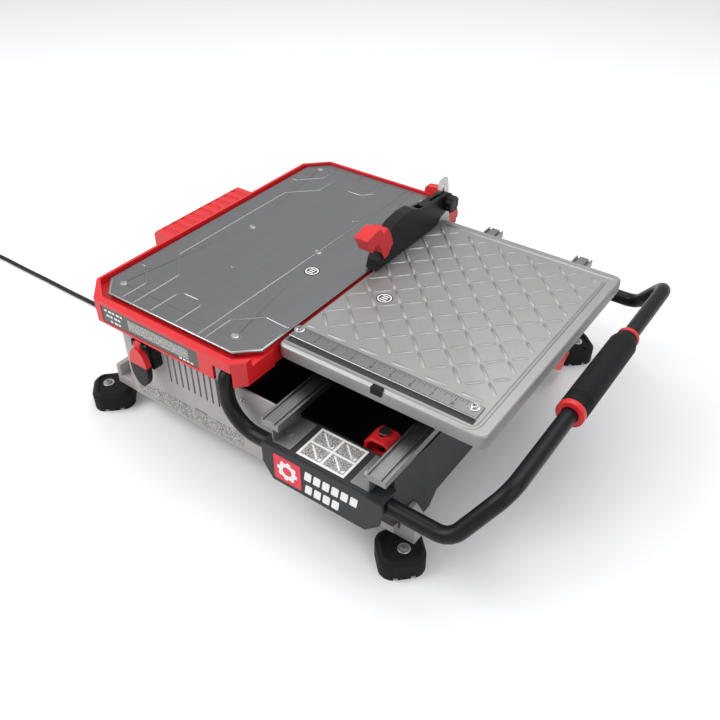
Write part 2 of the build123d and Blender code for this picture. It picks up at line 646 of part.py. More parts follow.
# ---- assembly -----------------------------------------------------------------
nodes["base_shell"] = make_base_shell()
nodes["water_pan"] = make_water_pan()
nodes["front_shelf"] = make_front_shelf()
nodes["right_panel"] = make_right_panel()
nodes["corner_legs"] = group(make_leg(x, y) for x in foot_x for y in foot_y)
nodes["rubber_feet"] = group(make_foot(i, k) for i in (0, 1) for k in (0, 1))
nodes["foot_bolts"] = group(make_foot_bolts())
nodes["deck_tray"] = make_deck_tray()
nodes["deck_plate"] = make_deck_plate()
nodes["deck_screws"] = group(make_deck_screws())
nodes["side_handle"] = make_side_handle()
nodes["rear_hump"] = make_rear_hump()
nodes["rails"] = group(make_rail(x) for x in rail_x)
nodes["carriages"] = group(make_carriage(x) for x in rail_x)
nodes["roller_axles"] = group(make_roller_axles(rail_x[0]) + make_roller_axles(rail_x[1]))
for side_name, x in zip(("left", "right"), rail_x):
    for end_name, y in zip(("front", "rear"), roller_y):
        nodes[f"roller_{end_name}_{side_name}"] = make_roller(x, y)
nodes["rail_brackets"] = group(make_rail_brackets())
nodes["rail_screws"] = group(make_rail_screws())
nodes["slide_table"] = make_slide_table()
nodes["ruler"] = make_ruler()
nodes["ruler_bolts"] = group(make_ruler_bolts())
nodes["table_stop"] = make_table_stop()
nodes["motor_housing"] = make_motor_housing()
nodes["motor_cap"] = make_motor_cap()
nodes["stator"] = make_stator()
nodes["bearings"] = group([make_bearing(motor_left - 7.5), make_bearing(motor_right - 5)])
nodes["brushes"] = group(make_brushes())
nodes["rotor"] = make_rotor()
nodes["arbor"] = make_arbor()
nodes["blade"] = make_blade()
nodes["flanges"] = group([make_flange(-6, 0.05), make_flange(1.95, 7)])
nodes["arbor_nut"] = make_arbor_nut()
nodes["riving_knife"] = make_riving_knife()
nodes["knife_bracket"] = make_knife_bracket()
nodes["knife_screws"] = group(make_knife_screws())
nodes["blade_guard"] = make_blade_guard()
nodes["guard_nose"] = make_guard_nose()
nodes["guard_bolt"] = make_guard_bolt()
nodes["guard_knob"] = make_guard_knob()
nodes["roll_cage"] = make_roll_cage()
nodes["tube_clamps"] = group(make_tube_clamps())
nodes["grip"] = make_grip()
nodes["grip_collars"] = group(make_grip_collars())
nodes["badge_plate"] = make_badge_plate()
nodes["switch_box"] = make_switch_box()
nodes["switch_module"] = make_switch_module()
nodes["paddle_pin"] = make_paddle_pin()
nodes["paddle_top"] = make_paddle_top()
nodes["paddle_base"] = make_paddle_base()
nodes["latch_bracket"] = make_latch_bracket()
nodes["latch_post"] = make_latch_post()
nodes["table_latch"] = make_table_latch()
nodes["drain_plug"] = make_drain_plug()
nodes["strain_relief"] = make_strain_relief()
nodes["cord_tube"] = make_cord_tube()
nodes["cord_coil"] = make_cord_coil()
nodes["power_plug"] = make_power_plug()

boxes = [shape.bounding_box() for name, shape in nodes.items() if name not in cord_names]
middle_x = (min(b.min.X for b in boxes) + max(b.max.X for b in boxes)) / 2
middle_y = (min(b.min.Y for b in boxes) + max(b.max.Y for b in boxes)) / 2
shift = Pos(-middle_x, -middle_y, -floor_z)
print("nodes", len(nodes), "origin at", round(middle_x, 3), round(middle_y, 3), floor_z)
for name, shape in nodes.items():
    export_step(shift * shape, f"parts/{name}.step")
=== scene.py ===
import bmesh
import bpy
import math
from mathutils import Matrix, Vector


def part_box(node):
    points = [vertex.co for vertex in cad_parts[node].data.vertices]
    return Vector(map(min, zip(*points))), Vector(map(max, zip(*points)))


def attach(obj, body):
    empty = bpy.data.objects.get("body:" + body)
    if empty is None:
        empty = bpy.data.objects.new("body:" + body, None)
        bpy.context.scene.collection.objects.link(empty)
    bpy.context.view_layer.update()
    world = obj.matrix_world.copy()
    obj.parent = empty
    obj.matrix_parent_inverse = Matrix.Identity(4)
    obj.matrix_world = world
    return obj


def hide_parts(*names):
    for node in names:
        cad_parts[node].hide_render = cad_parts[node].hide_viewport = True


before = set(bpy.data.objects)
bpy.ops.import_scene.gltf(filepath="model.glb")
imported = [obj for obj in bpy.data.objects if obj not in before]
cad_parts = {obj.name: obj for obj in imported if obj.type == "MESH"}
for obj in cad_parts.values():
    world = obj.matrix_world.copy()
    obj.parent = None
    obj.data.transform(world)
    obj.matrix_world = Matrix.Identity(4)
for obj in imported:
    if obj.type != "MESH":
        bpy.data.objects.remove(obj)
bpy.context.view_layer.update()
print("frame loaded with", len(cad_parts), "nodes")

# Every place below is in millimetres from the front end of the blade slit:
# x to the right, y to the back and z up from the cutting surface.
slit = Vector((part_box("deck_plate")[1].x + 0.001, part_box("slide_table")[0].y + 0.038,
               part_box("deck_plate")[1].z))


def at(x, y, z):
    return slit + Vector((x, y, z)) / 1000


def corners(node):
    low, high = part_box(node)
    return (low - slit) * 1000, (high - slit) * 1000


# camera and light
view = {"place": (494.6, -563.2, 545.0), "down": 38.58, "turn": 35.66, "lens": 40, "sensor": 36}

cameraData = bpy.data.cameras.new("camera")
cameraData.lens = view["lens"]
cameraData.sensor_width = view["sensor"]
cameraData.clip_end = 20
camera = bpy.data.objects.new("camera", cameraData)
camera.location = at(*view["place"])
camera.rotation_euler = (math.radians(90 - view["down"]), 0, math.radians(view["turn"]))
bpy.context.scene.collection.objects.link(camera)
bpy.context.scene.camera = camera
bpy.context.scene.view_settings.view_transform = "Standard"

studio = {"sky": (0.95, 0.96, 0.98), "skyPower": 0.7, "floor": (0.84, 0.84, 0.845), "floorSize": 12}
lamps = {  # place in metres from under the middle of the saw, size in metres, watts
    "keyLamp": ((-1.3, -1.2, 1.8), 1.5, 36),
    "topLamp": ((0.2, 0.8, 2.2), 1.8, 26),
    "sideLamp": ((1.9, -0.7, 1.1), 1.2, 8),
}

sky = bpy.data.worlds.new("studio")
sky.use_nodes = True
sky.node_tree.nodes["Background"].inputs["Color"].default_value = (*studio["sky"], 1)
sky.node_tree.nodes["Background"].inputs["Strength"].default_value = studio["skyPower"]
bpy.context.scene.world = sky
for lampName, (place, size, power) in lamps.items():
    lampData = bpy.data.lights.new(lampName, "AREA")
    lampData.size = size
    lampData.energy = power
    lamp = bpy.data.objects.new(lampName, lampData)
    lamp.location = place
    lamp.rotation_euler = (Vector((0, 0, 0.1)) - lamp.location).to_track_quat("-Z", "Y").to_euler()
    bpy.context.scene.collection.objects.link(lamp)
print("camera and lamps set")


# finishes
def makeFinish(name, look):
    # colour and tone are mixed by soft clouds; grain is the size in mm of the surface texture and
    # bump its strength; brush draws the texture out along an axis where it is under 1; spec is how
    # strongly a surface that is not metal shines
    finish = bpy.data.materials.new(name)
    finish.use_nodes = True
    nodes, links = finish.node_tree.nodes, finish.node_tree.links
    shader = nodes["Principled BSDF"]
    shader.inputs["Metallic"].default_value = look.get("metal", 0.0)
    shader.inputs["Coat Weight"].default_value = look.get("coat", 0.0)
    shader.inputs["Coat Roughness"].default_value = 0.25
    shader.inputs["Sheen Weight"].default_value = look.get("sheen", 0.0)
    shader.inputs["Specular IOR Level"].default_value = look.get("spec", 0.5)
    place = nodes.new("ShaderNodeTexCoord")
    stretch = nodes.new("ShaderNodeMapping")
    stretch.inputs["Scale"].default_value = look.get("brush", (1, 1, 1))
    links.new(place.outputs["Object"], stretch.inputs["Vector"])

    clouds = nodes.new("ShaderNodeTexNoise")
    clouds.inputs["Scale"].default_value = 1000 / look.get("cloud", 40)
    clouds.inputs["Detail"].default_value = 4
    links.new(stretch.outputs["Vector"], clouds.inputs["Vector"])
    tones = nodes.new("ShaderNodeMix")
    tones.data_type = "RGBA"
    tones.inputs["A"].default_value = (*look["colour"], 1)
    tones.inputs["B"].default_value = (*look.get("tone", [c * 0.86 for c in look["colour"]]), 1)
    if "speckle" in look:  # hard-edged flecks instead of clouds, as fine print looks from afar
        clouds.inputs["Scale"].default_value = 1000 / look["speckle"]
        flecks = nodes.new("ShaderNodeMapRange")
        flecks.inputs["From Min"].default_value = 0.47
        flecks.inputs["From Max"].default_value = 0.53
        links.new(clouds.outputs["Fac"], flecks.inputs["Value"])
        links.new(flecks.outputs["Result"], tones.inputs["Factor"])
    else:
        links.new(clouds.outputs["Fac"], tones.inputs["Factor"])
    links.new(tones.outputs["Result"], shader.inputs["Base Color"])

    grain = nodes.new("ShaderNodeTexNoise")
    grain.inputs["Scale"].default_value = 1000 / look.get("grain", 0.8)
    grain.inputs["Detail"].default_value = 3
    links.new(stretch.outputs["Vector"], grain.inputs["Vector"])
    gloss = nodes.new("ShaderNodeMapRange")
    gloss.inputs["To Min"].default_value = look["rough"][0]
    gloss.inputs["To Max"].default_value = look["rough"][1]
    links.new(grain.outputs["Fac"], gloss.inputs["Value"])
    links.new(gloss.outputs["Result"], shader.inputs["Roughness"])
    bump = nodes.new("ShaderNodeBump")
    bump.inputs["Strength"].default_value = look.get("bump", 0.1)
    bump.inputs["Distance"].default_value = 0.0001
    links.new(grain.outputs["Fac"], bump.inputs["Height"])
    links.new(bump.outputs["Normal"], shader.inputs["Normal"])
    return finish


looks = {
    "shellGrey": {"slot": "grey_shell", "colour": (0.37, 0.345, 0.335), "tone": (0.34, 0.315, 0.305),
                  "rough": (0.38, 0.55), "bump": 0.25},
    "panelDark": {"slot": "dark_panel", "colour": (0.026, 0.027, 0.029), "rough": (0.42, 0.6), "bump": 0.3,
                  "spec": 0.3},
    "plasticBlack": {"slot": "black_plastic", "colour": (0.008, 0.008, 0.009), "rough": (0.36, 0.52),
                     "bump": 0.25, "spec": 0.2},
    "rubberBlack": {"slot": "foot_rubber", "colour": (0.008, 0.008, 0.009), "rough": (0.6, 0.8), "bump": 0.35,
                    "spec": 0.18},
    "plasticRed": {"slot": "red_plastic", "colour": (0.62, 0.014, 0.018), "tone": (0.55, 0.011, 0.014),
                   "rough": (0.32, 0.46), "bump": 0.2},
    "deckSteel": {"slot": "deck_steel", "colour": (0.27, 0.27, 0.275), "tone": (0.235, 0.235, 0.24),
                  "metal": 1.0, "rough": (0.3, 0.42), "grain": 0.6, "bump": 0.12, "brush": (8, 0.35, 1)},
    "tableAlloy": {"slot": "table_aluminium", "colour": (0.37, 0.365, 0.36), "tone": (0.33, 0.325, 0.32),
                   "metal": 1.0, "rough": (0.44, 0.6), "grain": 0.7, "bump": 0.18, "cloud": 25},
    "railAlloy": {"slot": "rail_aluminium", "colour": (0.3, 0.3, 0.3), "tone": (0.22, 0.22, 0.22),
                  "metal": 1.0, "rough": (0.28, 0.45), "grain": 0.5, "bump": 0.15,
                  "brush": (6, 0.12, 6), "cloud": 20},
    "screwZincAndHighlight": {"slot": "screw_steel", "colour": (0.62, 0.62, 0.6), "tone": (0.5, 0.5, 0.48), "metal": 1.0,
                  "rough": (0.25, 0.4), "grain": 0.5, "cloud": 4},
    "machinedSteel": {"slot": "machined_steel", "colour": (0.5, 0.5, 0.5), "tone": (0.42, 0.42, 0.42),
                      "metal": 1.0, "rough": (0.22, 0.36), "grain": 0.4, "brush": (1, 1, 5), "cloud": 12},
    "castHousing": {"slot": "cast_housing", "colour": (0.3, 0.3, 0.3), "tone": (0.22, 0.22, 0.22),
                    "metal": 1.0, "rough": (0.5, 0.7), "grain": 1.0, "bump": 0.5, "cloud": 12},
    "copperCoil": {"slot": "copper_core", "colour": (0.6, 0.25, 0.12), "tone": (0.42, 0.16, 0.07),
                   "metal": 1.0, "rough": (0.3, 0.45), "bump": 0.4, "brush": (0.2, 6, 6), "cloud": 3},
    "tubeBlack": {"slot": "black_tube", "colour": (0.007, 0.007, 0.008), "rough": (0.3, 0.42), "grain": 0.5,
                  "bump": 0.15, "spec": 0.2},
    "nylonWhite": {"slot": "roller_nylon", "colour": (0.7, 0.69, 0.65), "rough": (0.35, 0.5)},
    "cordBlack": {"slot": "cord_black", "colour": (0.008, 0.008, 0.009), "rough": (0.4, 0.52), "bump": 0.15,
                  "spec": 0.25},
    "inkWhite": {"slot": "grey_shell", "colour": (0.8, 0.8, 0.79), "rough": (0.4, 0.5)},
    "inkAndShadeBlack": {"slot": "black_plastic", "colour": (0.02, 0.02, 0.02), "rough": (0.5, 0.6)},
    "inkRed": {"slot": "red_plastic", "colour": (0.7, 0.02, 0.05), "rough": (0.4, 0.5)},
    "labelDark": {"slot": "dark_panel", "colour": (0.07, 0.07, 0.07), "rough": (0.35, 0.45)},
    "printGrey": {"slot": "grey_shell", "colour": (0.42, 0.41, 0.39), "tone": (0.14, 0.13, 0.12),
                  "rough": (0.4, 0.5), "speckle": 1.5},
}
finishes = {name: makeFinish(name, look) for name, look in looks.items()}
print("finishes ready:", len(finishes))


# mesh makers
def placer(way):
    # an outline is drawn in (y, z) across x, in (x, z) across y and in (x, y) across z
    return {"x": lambda a, b, c: at(c, a, b), "y": lambda a, b, c: at(a, c, b),
            "z": lambda a, b, c: at(a, b, c)}[way]


def loft(bm, rings, loop=False):
    rows = [[bm.verts.new(point) for point in ring] for ring in rings]
    count = len(rows[0])
    pairs = list(zip(rows, rows[1:]))
    if loop:
        pairs.append((rows[-1], rows[0]))
    else:
        bm.faces.new(list(reversed(rows[0])))
        bm.faces.new(rows[-1])
    for lower, upper in pairs:
        for i in range(count):
            k = (i + 1) % count
            bm.faces.new((lower[i], lower[k], upper[k], upper[i]))


def prism(bm, outline, way, low, high):
    place = placer(way)
    loft(bm, [[place(a, b, level) for a, b in outline] for level in (low, high)])


def brick(bm, x0, x1, y0, y1, z0, z1):
    prism(bm, [(x0, y0), (x1, y0), (x1, y1), (x0, y1)], "z", z0, z1)


def turned(bm, way, centre, profile, steps=32, loop=False, squeeze=1.0):
    # profile: (place along the axis, radius) pairs
    place = placer(way)
    turns = [2 * math.pi * i / steps for i in range(steps)]
    loft(bm, [[place(centre[0] + r * math.cos(t), centre[1] + squeeze * r * math.sin(t), along)
               for t in turns] for along, r in profile], loop)


def eased(outline, radius, steps=4, closed=True):
    # rounds the corners of an outline
    points = [Vector(p) for p in outline]
    count = len(points)
    made = []
    for i, corner in enumerate(points):
        if not closed and i in (0, count - 1):
            made.append(tuple(corner))
            continue
        toBefore = points[i - 1] - corner
        toAfter = points[(i + 1) % count] - corner
        half = toBefore.angle(toAfter) / 2
        reach = min(radius / math.tan(half), 0.48 * toBefore.length, 0.48 * toAfter.length)
        first = corner + toBefore.normalized() * reach
        last = corner + toAfter.normalized() * reach
        for s in range(steps + 1):
            t = s / steps
            made.append(tuple(first * (1 - t) ** 2 + corner * 2 * t * (1 - t) + last * t ** 2))
    return made


def roundRect(x0, x1, y0, y1, radius, steps=5):
    return eased([(x0, y0), (x1, y0), (x1, y1), (x0, y1)], radius, steps)


ribSection = [(-0.5, -0.2), (-0.36, 0.72), (-0.22, 1.0), (0.22, 1.0), (0.36, 0.72), (0.5, -0.2)]


def rib(bm, path, width, height, level=0.0):
    # a pressed rib with sloping sides and flat top along a path in the plane, tapered at both ends
    points = [Vector(p) for p in path]
    first = points[0] + (points[1] - points[0]).normalized() * width * 0.6
    last = points[-1] + (points[-2] - points[-1]).normalized() * width * 0.6
    points = [points[0], first, *points[1:-1], last, points[-1]]
    rings = []
    for i, point in enumerate(points):
        ways = []
        if i > 0:
            ways.append((point - points[i - 1]).normalized())
        if i < len(points) - 1:
            ways.append((points[i + 1] - point).normalized())
        mean = sum(ways, Vector((0, 0))).normalized()
        side = Vector((mean.y, -mean.x))
        side /= max(0.4, mean.dot(ways[0]))
        size = 0.3 if i in (0, len(points) - 1) else 1.0
        rise = -0.2 if i in (0, len(points) - 1) else 0.0
        ring = []
        for across, up in ribSection:
            spot = point + side * across * width * size
            ring.append(at(spot.x, spot.y, level + height * (up * size + rise)))
        rings.append(ring)
    loft(bm, rings)


def makePiece(name, bm, look, body, standsFor=(), soften=0.0, rounds=2, crease=32):
    bmesh.ops.recalc_face_normals(bm, faces=bm.faces)
    mesh = bpy.data.meshes.new(name)
    bm.to_mesh(mesh)
    bm.free()
    mesh.materials.append(finishes[look])
    piece = bpy.data.objects.new(name, mesh)
    bpy.context.scene.collection.objects.link(piece)
    mesh.shade_smooth()
    mesh.set_sharp_from_angle(angle=math.radians(crease))
    if soften:
        softenEdges(piece, soften, rounds)
    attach(piece, body)
    if standsFor:
        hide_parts(*standsFor)
    return piece


def softenEdges(piece, width, rounds=2):
    edge = piece.modifiers.new("softEdges", "BEVEL")
    edge.width = width / 1000
    edge.segments = rounds
    edge.limit_method = "ANGLE"
    edge.angle_limit = math.radians(32)
    edge.harden_normals = True


def carve(piece, *cutters):
    # cuts the closed shapes drawn by each cutter function out of a piece, for good
    for draw in cutters:
        bm = bmesh.new()
        draw(bm)
        bmesh.ops.recalc_face_normals(bm, faces=bm.faces)
        mesh = bpy.data.meshes.new("cutter")
        bm.to_mesh(mesh)
        bm.free()
        cutter = bpy.data.objects.new("cutter", mesh)
        bpy.context.scene.collection.objects.link(cutter)
        cut = piece.modifiers.new("cut", "BOOLEAN")
        cut.object = cutter
        cut.solver = "EXACT"
        while piece.modifiers[0] != cut:
            piece.modifiers.move(piece.modifiers.find("cut"), 0)
        others = [m for m in piece.modifiers if m != cut]
        for other in others:
            other.show_viewport = False
        shape = bpy.data.meshes.new_from_object(piece.evaluated_get(bpy.context.evaluated_depsgraph_get()))
        for other in others:
            other.show_viewport = True
        piece.modifiers.remove(cut)
        piece.data = shape
        bpy.data.objects.remove(cutter)
    piece.data.shade_smooth()
    piece.data.set_sharp_from_angle(angle=math.radians(32))


def dress(look, *nodes, soften=0.0):
    for node in nodes:
        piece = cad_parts[node]
        piece.data.materials.clear()
        piece.data.materials.append(finishes[look])
        if soften:
            weld = piece.modifiers.new("weld", "WELD")
            weld.merge_threshold = 0.00002
            softenEdges(piece, soften)


# floor
def makeFloor():
    half = studio["floorSize"] / 2
    mesh = bpy.data.meshes.new("floor")
    mesh.from_pydata([(-half, -half, 0), (half, -half, 0), (half, half, 0), (-half, half, 0)], [],
                     [(0, 1, 2, 3)])
    floor = bpy.data.objects.new("floor", mesh)
    bpy.context.scene.collection.objects.link(floor)
    paper = bpy.data.materials.new("paper")
    paper.use_nodes = True
    paper.node_tree.nodes["Principled BSDF"].inputs["Base Color"].default_value = (*studio["floor"], 1)
    paper.node_tree.nodes["Principled BSDF"].inputs["Roughness"].default_value = 0.9
    mesh.materials.append(paper)


makeFloor()

# power cord
cord = {"radius": 3.4, "length": 1.8, "rest": -186.5, "coilX": -790.0, "coilY": 10.0,
        "innerTurn": 34.5, "outerTurn": 41.5, "turns": 5.25, "pointsPerTurn": 12}
cordRoute = [(-269, 50, -118), (-290, 50, -119), (-319, 51, -141), (-348, 50, -169), (-382, 49, -185),
             (-424, 49.5, -186.5), (-474, 50.5, -186.5), (-530, 50, -186.5), (-590, 51, -186.5),
             (-650, 50.5, -186.5), (-706, 51.5, -186.5), (-745, 50.4, -186.5), (-778, 51.5, -186.5)]


def ramp(value, start, end):
    return min(1.0, max(0.0, (value - start) / (end - start)))


def makeCord():
    points = list(cordRoute)
    reach = cord["outerTurn"] - cord["innerTurn"]
    step = 360 / cord["pointsPerTurn"]
    for k in range(1, round(cord["turns"] * cord["pointsPerTurn"]) + 1):
        swept = k * step
        # out, in, in, out, out, in: each turn lies beside or on the last
        inward = ramp(swept, 270, 330) - ramp(swept, 900, 960) + ramp(swept, 1530, 1590)
        layer = ramp(swept, 570, 630) + ramp(swept, 1200, 1260)
        radius = cord["outerTurn"] - reach * inward
        turn = math.radians(90 + swept)
        points.append((cord["coilX"] + radius * math.cos(turn), cord["coilY"] + radius * math.sin(turn),
                       cord["rest"] + layer * 2 * cord["radius"]))
    endX = cord["coilX"] - cord["innerTurn"]
    points += [(endX, -4, -173.2), (endX, -16, -176), (endX, -26, -180)]
    curve = bpy.data.curves.new("powerCord", "CURVE")
    curve.dimensions = "3D"
    curve.bevel_depth = cord["radius"] / 1000
    curve.bevel_resolution = 4
    curve.use_fill_caps = True
    spline = curve.splines.new("NURBS")
    spline.points.add(len(points) - 1)
    for spot, point in zip(spline.points, points):
        spot.co = (*at(*point), 1)
    spline.order_u = 3
    spline.use_endpoint_u = True
    spline.resolution_u = 8
    curve.materials.append(finishes["cordBlack"])
    lead = bpy.data.objects.new("powerCord", curve)
    bpy.context.scene.collection.objects.link(lead)
    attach(lead, "base")
    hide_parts("cord_tube", "cord_coil")
    return lead


def makePlug():
    x = cord["coilX"] - cord["innerTurn"]
    bm = bmesh.new()
    z = -180

    def section(y, r):
        return [at(px, y, pz) for px, pz in
                roundRect(x - r * 1.08, x + r * 1.08, z - 0.88 * r, z + 0.88 * r, r * 0.6)]

    loft(bm, [section(y, r) for y, r in ((-20, 4.6), (-22, 5.4), (-31, 5.6), (-34, 8.6), (-38, 10.4),
                                         (-50, 10.9), (-64, 10.4), (-67, 9.2))])
    for k in range(4):                        # finger ribs on the body
        y = -44 - 5 * k
        loft(bm, [section(y - 1.2, 10.4), section(y - 0.6, 11.1), section(y + 0.6, 11.1),
                  section(y + 1.2, 10.4)])
    plug = makePiece("plugBody", bm, "cordBlack", "base", ["power_plug"])
    bm = bmesh.new()
    for side in (-1, 1):
        brick(bm, x + side * 6.3 - 0.75, x + side * 6.3 + 0.75, -82.5, -66.5, z - 3, z + 3)
    blades = makePiece("plugBlades", bm, "machinedSteel", "base", soften=0.4)
    return plug, blades


def makeStrainRelief():
    # a tapered sleeve with ring grooves
    low, high = corners("strain_relief")
    y, z = (low.y + high.y) / 2, (low.z + high.z) / 2
    profile = [(high.x, 6.9), (-229.2, 6.9), (-229.3, 8.4), (-233, 8.5)]
    for k in range(7):
        x = -235 - 4.6 * k
        r = 8.1 - 0.44 * k
        profile += [(x, r), (x - 0.7, r - 1.0), (x - 2.0, r - 1.1), (x - 2.7, r - 0.3)]
    profile += [(low.x + 1, 4.9), (low.x, 4.5)]
    bm = bmesh.new()
    turned(bm, "x", (y, z), profile, 28)
    makePiece("strainRelief", bm, "cordBlack", "base", ["strain_relief"], crease=50)


powerCord = makeCord()
plugParts = makePlug()
makeStrainRelief()
print("cord laid")

# steel deck
deck = {"rib": 4.2, "height": 0.8, "middleY": 141.75, "sticker": (-58.7, 103.3, 10.0),
        "screws": [(-231.5, -55), (-44.5, -55), (-81, 145), (-196, 145), (-231.5, 343), (-44.5, 343)]}
deckPaths = [  # pressed ribs of the front half
    [(-210, -78), (-210, -38), (-238, -10), (-251, -10)],
    [(-190, -78), (-190, -2), (-226.5, 33), (-226.5, 141.75)],
    [(-161, -78), (-161, -34), (-152, -26), (-129, -26), (-120, -35), (-120, -78)],
    [(-82, -78), (-82, 141.75)],
    [(-71, -78), (-71, -36), (-39, -6), (-4, -8)],
]


def makeDeckRibs():
    bm = bmesh.new()
    for path in deckPaths:
        mirrored = [(x, 2 * deck["middleY"] - y) for x, y in path]
        if abs(path[-1][1] - deck["middleY"]) < 0.1:      # this one runs on to the back
            whole = path[:-1] + mirrored[-2::-1]
            rib(bm, eased(whole, 4, 3, False), deck["rib"], deck["height"])
        else:
            rib(bm, eased(path, 4, 3, False), deck["rib"], deck["height"])
            rib(bm, eased(mirrored, 4, 3, False), deck["rib"], deck["height"])
    for x, y in ((-94, 239), (-123, 319), (-150, 52)):
        rib(bm, [(x - 2, y), (x + 3, y), (x + 8, y + 4)], 2.0, 0.5)
    makePiece("deckRibs", bm, "deckSteel", "base", crease=60)

    bm = bmesh.new()                                      # folded edge at the front right corner and a thin one along the front edge, in brighter steel than the deck: painted highlight
    rib(bm, [(-27.5, -79.6), (-3.2, -57.0), (-2.6, -20)], 2.4, 0.6)
    rib(bm, [(-251.6, -55), (-229, -79.4), (-27.5, -79.6)], 1.6, 0.35)
    makePiece("deckFoldHighlight", bm, "screwZincAndHighlight", "base", crease=60)


def makeDeckScrews():
    bm = bmesh.new()
    for x, y in deck["screws"]:
        turned(bm, "z", (x, y), [(-7.5, 2.1), (-1.6, 2.1), (-0.9, 3.9), (-0.35, 4.1), (-0.1, 3.6),
                                 (-0.05, 1.7), (-1.0, 1.3), (-1.05, 0.05)], 24)
    makePiece("deckScrewHeads", bm, "screwZincAndHighlight", "base", ["deck_screws"], crease=40)
    bm = bmesh.new()                                      # pressed dimple round every screw
    for x, y in deck["screws"]:
        turned(bm, "z", (x, y), [(0.02, 4.5), (0.32, 5.1), (0.32, 5.9), (0.02, 7.4), (-0.15, 7.4),
                                 (-0.15, 4.5)], 32, loop=True)
    makePiece("deckDimples", bm, "deckSteel", "base", crease=60)


makeDeckRibs()
makeDeckScrews()
dress("deckSteel", "deck_plate", soften=0.4)
print("deck made")

# sliding table
table = {"x": (3.0, 268.0), "y": (-38.0, 320.0), "bottom": -17.0, "wall": 3.0, "corner": 11.0,
         "roundOver": 3.5,
         "cellX": 22.1, "cellY": 21.9, "firstX": 51.3, "firstY": 195.0, "field": (9.0, 245.0, 15.0, 297.0),
         "rib": 4.5, "height": 0.9}


def tableRing(inset, z, radius):
    x0, x1 = table["x"]
    y0, y1 = table["y"]
    return [at(x, y, z) for x, y in roundRect(x0 + inset, x1 - inset, y0 + inset, y1 - inset, radius)]


def makeTableShell():
    wall, corner, turn = table["wall"], table["corner"], table["roundOver"]
    rings = [tableRing(wall, -3.0, corner - wall), tableRing(wall, table["bottom"], corner - wall),
             tableRing(0.6, table["bottom"], corner - 0.6), tableRing(0, table["bottom"] + 0.6, corner)]
    for k in range(7):
        angle = math.radians(15 * k)
        inset = turn * (1 - math.cos(angle))
        rings.append(tableRing(inset, turn * (math.sin(angle) - 1), corner - inset * 0.8))
    bm = bmesh.new()
    loft(bm, rings)
    shell = makePiece("tableShell", bm, "tableAlloy", "table", ["slide_table"], crease=30)
    carve(shell, lambda bm: prism(bm, roundRect(6.5, 247.5, -27.2, -19.6, 1.5), "z", -1.3, 1))
    bm = bmesh.new()
    # black strip laid in the groove in front of the ruler: painted shade in the groove
    prism(bm, roundRect(7.0, 247.0, -26.8, -20.0, 1.2), "z", -1.5, -0.9)
    makePiece("grooveShadeStrip", bm, "inkAndShadeBlack", "table")


def clipped(a, b):
    # part of the line from a to b that lies in the patterned field
    x0, x1, y0, y1 = table["field"]
    t0, t1 = 0.0, 1.0
    for start, step, low, high in ((a[0], b[0] - a[0], x0, x1), (a[1], b[1] - a[1], y0, y1)):
        first, second = sorted(((low - start) / step, (high - start) / step))
        t0, t1 = max(t0, first), min(t1, second)
    if t1 - t0 < 0.25:
        return None
    return [(a[0] + (b[0] - a[0]) * t, a[1] + (b[1] - a[1]) * t) for t in (t0, t1)]


def makeTableRibs():
    bm = bmesh.new()
    for i in range(-3, 11):
        for j in range(-10, 7):
            if (i + j) % 2 == 0:
                continue
            x, y = table["firstX"] + table["cellX"] * i, table["firstY"] + table["cellY"] * j
            for side, gap in ((1, 0.13), (-1, 0.05)):
                ends = [(x + table["cellX"] * t, y + side * table["cellY"] * t) for t in (gap, 1 - gap)]
                line = clipped(*ends)
                if line:
                    rib(bm, line, table["rib"], table["height"])
    for middle in (50.5, 94.6, 138.9, 183.5, 227.5):
        rib(bm, [(middle - 13.5, 9.5), (middle + 13.5, 9.5)], table["rib"], table["height"])
    rib(bm, [(8, 9.5), (20, 9.5)], table["rib"], table["height"])
    bead = eased([(253.5, 296), (253.5, -33.0), (5.5, -33.0)], 12, 6, False)
    rib(bm, bead, 5.5, 1.1)
    rib(bm, [(16, 308), (262, 308)], 7.0, 1.0)
    makePiece("tableRibs", bm, "tableAlloy", "table", crease=60)


def makeRoundLabel(name, x, y, radius, body):
    # plain round label: dark disc, light ring and a light bar
    bm = bmesh.new()
    turned(bm, "z", (x, y), [(0.02, radius), (0.22, radius), (0.24, radius * 0.97)], 48)
    makePiece(name, bm, "inkAndShadeBlack", body)
    bm = bmesh.new()
    turned(bm, "z", (x, y), [(0.26, radius * 0.86), (0.3, radius * 0.84), (0.3, radius * 0.72),
                             (0.26, radius * 0.7)], 48, loop=True)
    for k in (-1, 0, 1):
        brick(bm, x - radius * 0.42, x + radius * 0.42, y + k * 4 - 1.0, y + k * 4 + 1.0, 0.2, 0.3)
    makePiece(name + "Print", bm, "inkWhite", body)


makeTableShell()
makeTableRibs()
makeRoundLabel("tableLabel", 50.8, 106.3, 10.5, "table")
makeRoundLabel("deckLabel", *deck["sticker"], "base")
print("table made")

# ruler
ruler = {"x": (5.5, 246.0), "y": (-19.5, 2.0), "top": 2.2, "zero": 12.4, "inch": 25.4, "numbers": 9,
         "textSize": 8.5, "bolts": (9.4, 236.9), "boltY": -5.2}
tickLengths = {0: 8.5, 4: 6.5, 2: 5.0, 6: 5.0}


